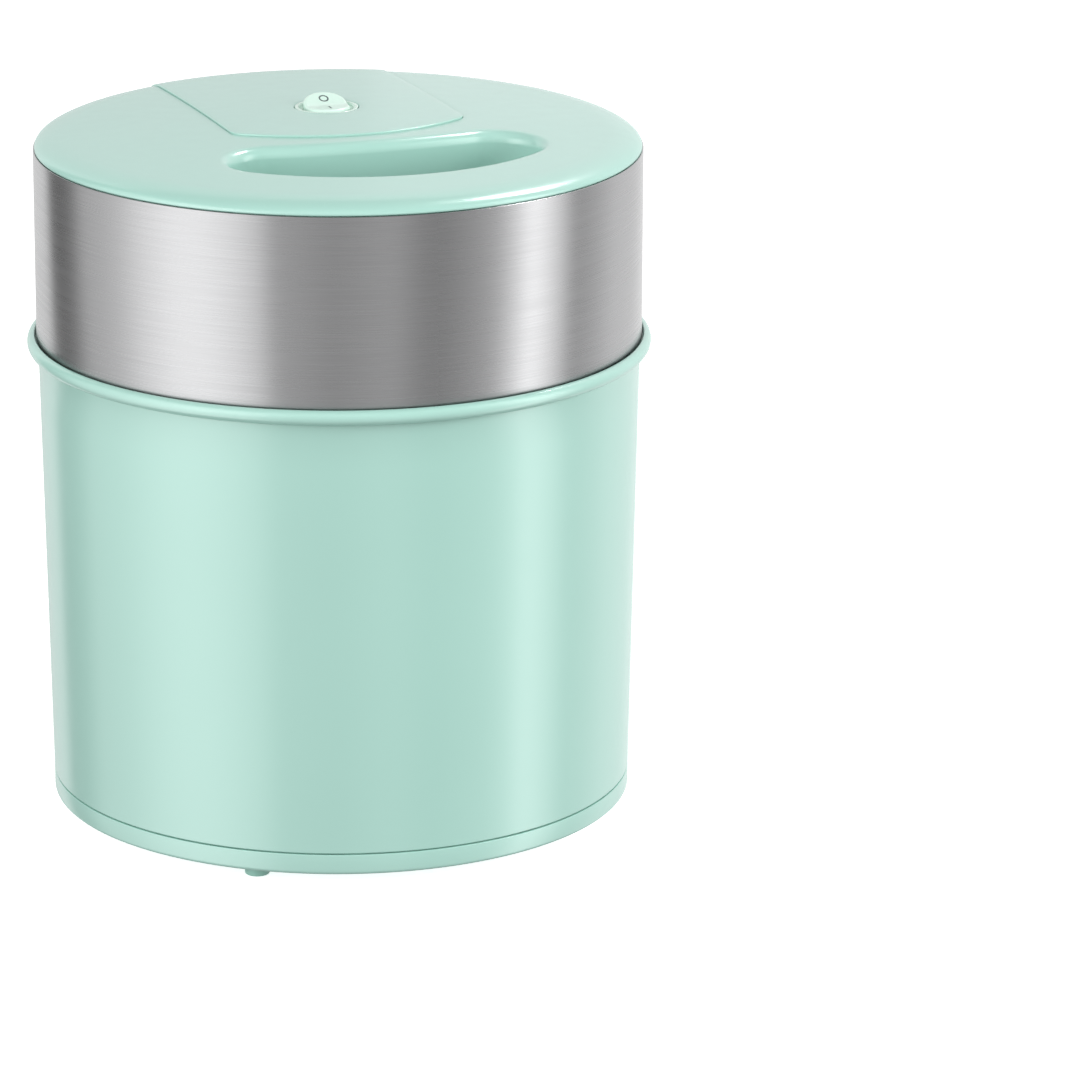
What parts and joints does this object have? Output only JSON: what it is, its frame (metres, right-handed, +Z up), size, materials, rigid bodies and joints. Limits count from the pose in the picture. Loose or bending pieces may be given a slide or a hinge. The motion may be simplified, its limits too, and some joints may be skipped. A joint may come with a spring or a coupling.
{
  "type": "ice cream maker",
  "caption": "Round countertop ice cream maker: housing with a lift-out freezer bowl under a steel-banded drive head with an ingredient chute, a rocker switch and a geared paddle.",
  "frame": {"origin": "on the centre axis, at the surface that the feet stand on", "axes": "+Z up along the paddle's axis, -Y towards the ingredient chute at the front, +Y towards the cord entry at the back, +X to the right seen from the front"},
  "size_m": [0.2144, 0.2144, 0.2447],
  "materials": {
    "mint_plastic": "satin moulded",
    "mint_feet": "matt",
    "steel": "brushed round the band",
    "screw_steel": "zinc plated",
    "aluminium": "smooth drawn",
    "white_plastic": "satin moulded",
    "gel": null,
    "silicone": "matt",
    "black_rubber": "matt",
    "case_plastic": "glass-filled nylon",
    "gear_plastic": "acetal",
    "bronze": "sintered",
    "brass": "bright",
    "shaft_steel": "ground",
    "can_steel": "zinc plated",
    "magnet": "sintered ferrite",
    "core": "laminations and windings",
    "carbon": "matt carbon",
    "copper": "turned",
    "switch_plastic": "gloss moulded",
    "lead_sleeve": "PVC sleeve"
  },
  "bodies": {
    "housing": {"housing_shell": "mint_plastic", "base_plate": "mint_plastic", "base_screws": "screw_steel", "feet": "mint_feet"},
    "freezer_bowl": {"bowl_jacket": "white_plastic", "bowl_liner": "aluminium", "coolant_gel": "gel", "bowl_rim_ring": "white_plastic", "bowl_seal": "silicone", "fill_plug": "silicone"},
    "drive_head": {"head_tray": "mint_plastic", "steel_band": "steel", "top_cover": "mint_plastic", "motor_cover": "mint_plastic", "cover_screws": "screw_steel", "bowl_gasket": "silicone", "gear_case": "case_plastic", "gear_case_lid": "case_plastic", "case_screws": "screw_steel", "gear_axles": "shaft_steel", "spindle_bush": "bronze", "spindle_seal": "black_rubber", "motor_can": "can_steel", "motor_magnets": "magnet", "motor_end_cap": "case_plastic", "motor_brushes": "carbon", "motor_bushes": "bronze", "motor_screws": "screw_steel", "switch_body": "switch_plastic", "switch_terminals": "brass", "cord_gland": "black_rubber", "cord_clamp": "case_plastic", "clamp_screws": "screw_steel", "supply_leads": "lead_sleeve", "motor_leads": "lead_sleeve"},
    "paddle_drive": {"output_gear": "gear_plastic", "drive_spindle": "shaft_steel", "spindle_clip": "screw_steel", "paddle": "white_plastic"},
    "second_gear": {"second_gear": "gear_plastic"},
    "first_gear": {"first_gear": "gear_plastic"},
    "rotor": {"motor_shaft": "shaft_steel", "rotor_core": "core", "commutator": "copper", "motor_pinion": "bronze"},
    "rocker": {"switch_rocker": "switch_plastic"}
  },
  "joints": [
    {"name": "bowl_lift", "type": "slide", "parent": "housing", "child": "freezer_bowl", "axis": [0, 0, 1], "range_m": [0, 0.165]},
    {"name": "head_lift", "type": "slide", "parent": "freezer_bowl", "child": "drive_head", "axis": [0, 0, 1], "range_m": [0, 0.16]},
    {"name": "paddle_spin", "type": "hinge", "parent": "drive_head", "child": "paddle_drive", "pos_m": [0, 0, 0.1615], "axis": [0, 0, 1], "continuous": true},
    {"name": "second_gear_spin", "type": "hinge", "parent": "drive_head", "child": "second_gear", "pos_m": [0, 0.021, 0.1765], "axis": [0, 0, 1], "continuous": true},
    {"name": "first_gear_spin", "type": "hinge", "parent": "drive_head", "child": "first_gear", "pos_m": [-0.02079, 0.033, 0.1815], "axis": [0, 0, 1], "continuous": true},
    {"name": "rotor_spin", "type": "hinge", "parent": "drive_head", "child": "rotor", "pos_m": [-0.04157, 0.045, 0.2], "axis": [0, 0, 1], "continuous": true},
    {"name": "switch_rock", "type": "hinge", "parent": "drive_head", "child": "rocker", "pos_m": [0.004, 0.0255, 0.23981], "axis": [1, 0, 0], "range_deg": [-24, 0]}
  ],
  "couplings": [
    {"joint": "second_gear_spin", "follows": "paddle_spin", "ratio": -2.5},
    {"joint": "first_gear_spin", "follows": "paddle_spin", "ratio": 7.5},
    {"joint": "rotor_spin", "follows": "paddle_spin", "ratio": -22.5}
  ]
}
